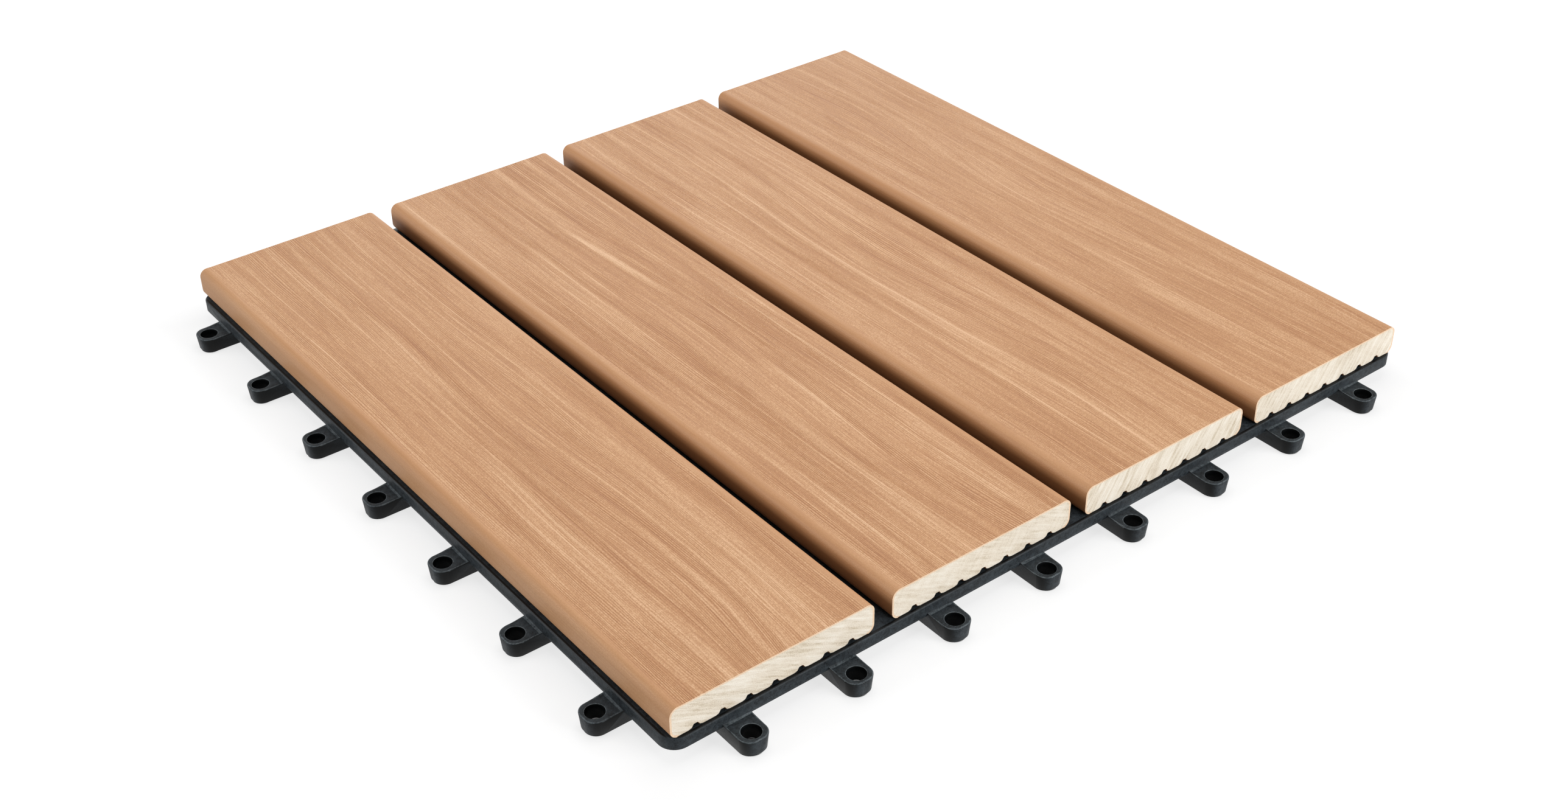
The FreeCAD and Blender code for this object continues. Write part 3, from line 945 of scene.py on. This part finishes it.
# %% Floor
FLOOR_SIZE = 12
FLOOR_GREY = 0.55
GLOW = 1.5
bpy.ops.object.select_all(action="DESELECT")
bpy.ops.mesh.primitive_plane_add(size=FLOOR_SIZE, location=(0, 0, 0))
floor = bpy.context.object
floor.name = "floor"
white, wire, shader, place = finish("white floor", {"Roughness": 0.9, "Specular IOR Level": 0.1})
shader.inputs["Base Color"].default_value = (FLOOR_GREY, FLOOR_GREY, FLOOR_GREY, 1)
glow = wire.node("ShaderNodeEmission", {}, {"Color": (1, 1, 1, 1), "Strength": GLOW})
seen_share = direct_rays(wire) * glowing_share(wire, place)
painted = Wire(wire.tree, shader.outputs["BSDF"])
surface = wire.node("ShaderNodeMixShader", {}, {0: seen_share, 1: painted, 2: glow})
wire.tree.links.new(surface.socket, wire.tree.nodes["Material Output"].inputs["Surface"])
floor.data.materials.append(white)
print("floor nodes:", len(white.node_tree.nodes))

# %% Sky
SKY = 0.16
world = bpy.data.worlds.new("studio")
bpy.context.scene.world = world
world.use_nodes = True
background = world.node_tree.nodes["Background"]
background.inputs["Color"].default_value = (1, 1, 1, 1)
brightness = direct_rays(Wire(world.node_tree)) * (1 - SKY) + SKY
world.node_tree.links.new(brightness.socket, background.inputs["Strength"])
print("sky nodes:", len(world.node_tree.nodes))

# %% Lamps
def lamp(name, direction, distance, size, power):
    """A square area lamp that looks at the middle of the tile from the given direction."""
    light = bpy.data.lights.new(name, "AREA")
    light.shape = "SQUARE"
    light.size = size
    light.energy = power
    stand = bpy.data.objects.new(name, light)
    bpy.context.collection.objects.link(stand)
    length = math.sqrt(sum(part * part for part in direction))
    stand.location = [distance * part / length for part in direction]
    stand.rotation_euler = stand.location.to_track_quat("Z", "Y").to_euler()
    print(name, "lamp at", [round(part, 2) for part in stand.location])


lamp("key", direction=(0.5, -1.0, 0.4), distance=3.0, size=1.5, power=70)
lamp("top", direction=(0.0, -0.06, 1.0), distance=0.6, size=0.45, power=1.5)
lamp("rear left", direction=(-0.7, 0.45, 0.35), distance=2.6, size=1.8, power=30)
lamp("rear right", direction=(0.5, 0.75, 0.45), distance=2.6, size=1.8, power=18)

# %% Camera
PITCH, ROLL, TURN = 55.656, 0.544, -38.086
view = bpy.data.cameras.new("camera")
view.lens = 45.02
view.sensor_width = 36
view.clip_start = 0.01
view.clip_end = 50
camera = bpy.data.objects.new("camera", view)
bpy.context.collection.objects.link(camera)
camera.location = (-0.34955, -0.45465, 0.3735)
camera.rotation_euler = [math.radians(angle) for angle in (PITCH, ROLL, TURN)]
bpy.context.scene.camera = camera
bpy.context.scene.view_settings.view_transform = "Standard"
print("camera from the origin, m:", round(camera.location.length, 3))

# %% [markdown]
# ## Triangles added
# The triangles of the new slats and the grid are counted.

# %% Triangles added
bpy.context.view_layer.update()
triangles = sum(len(f.vertices) - 2 for piece in slats + [grid] for f in piece.data.polygons)
print("triangles added:", triangles)
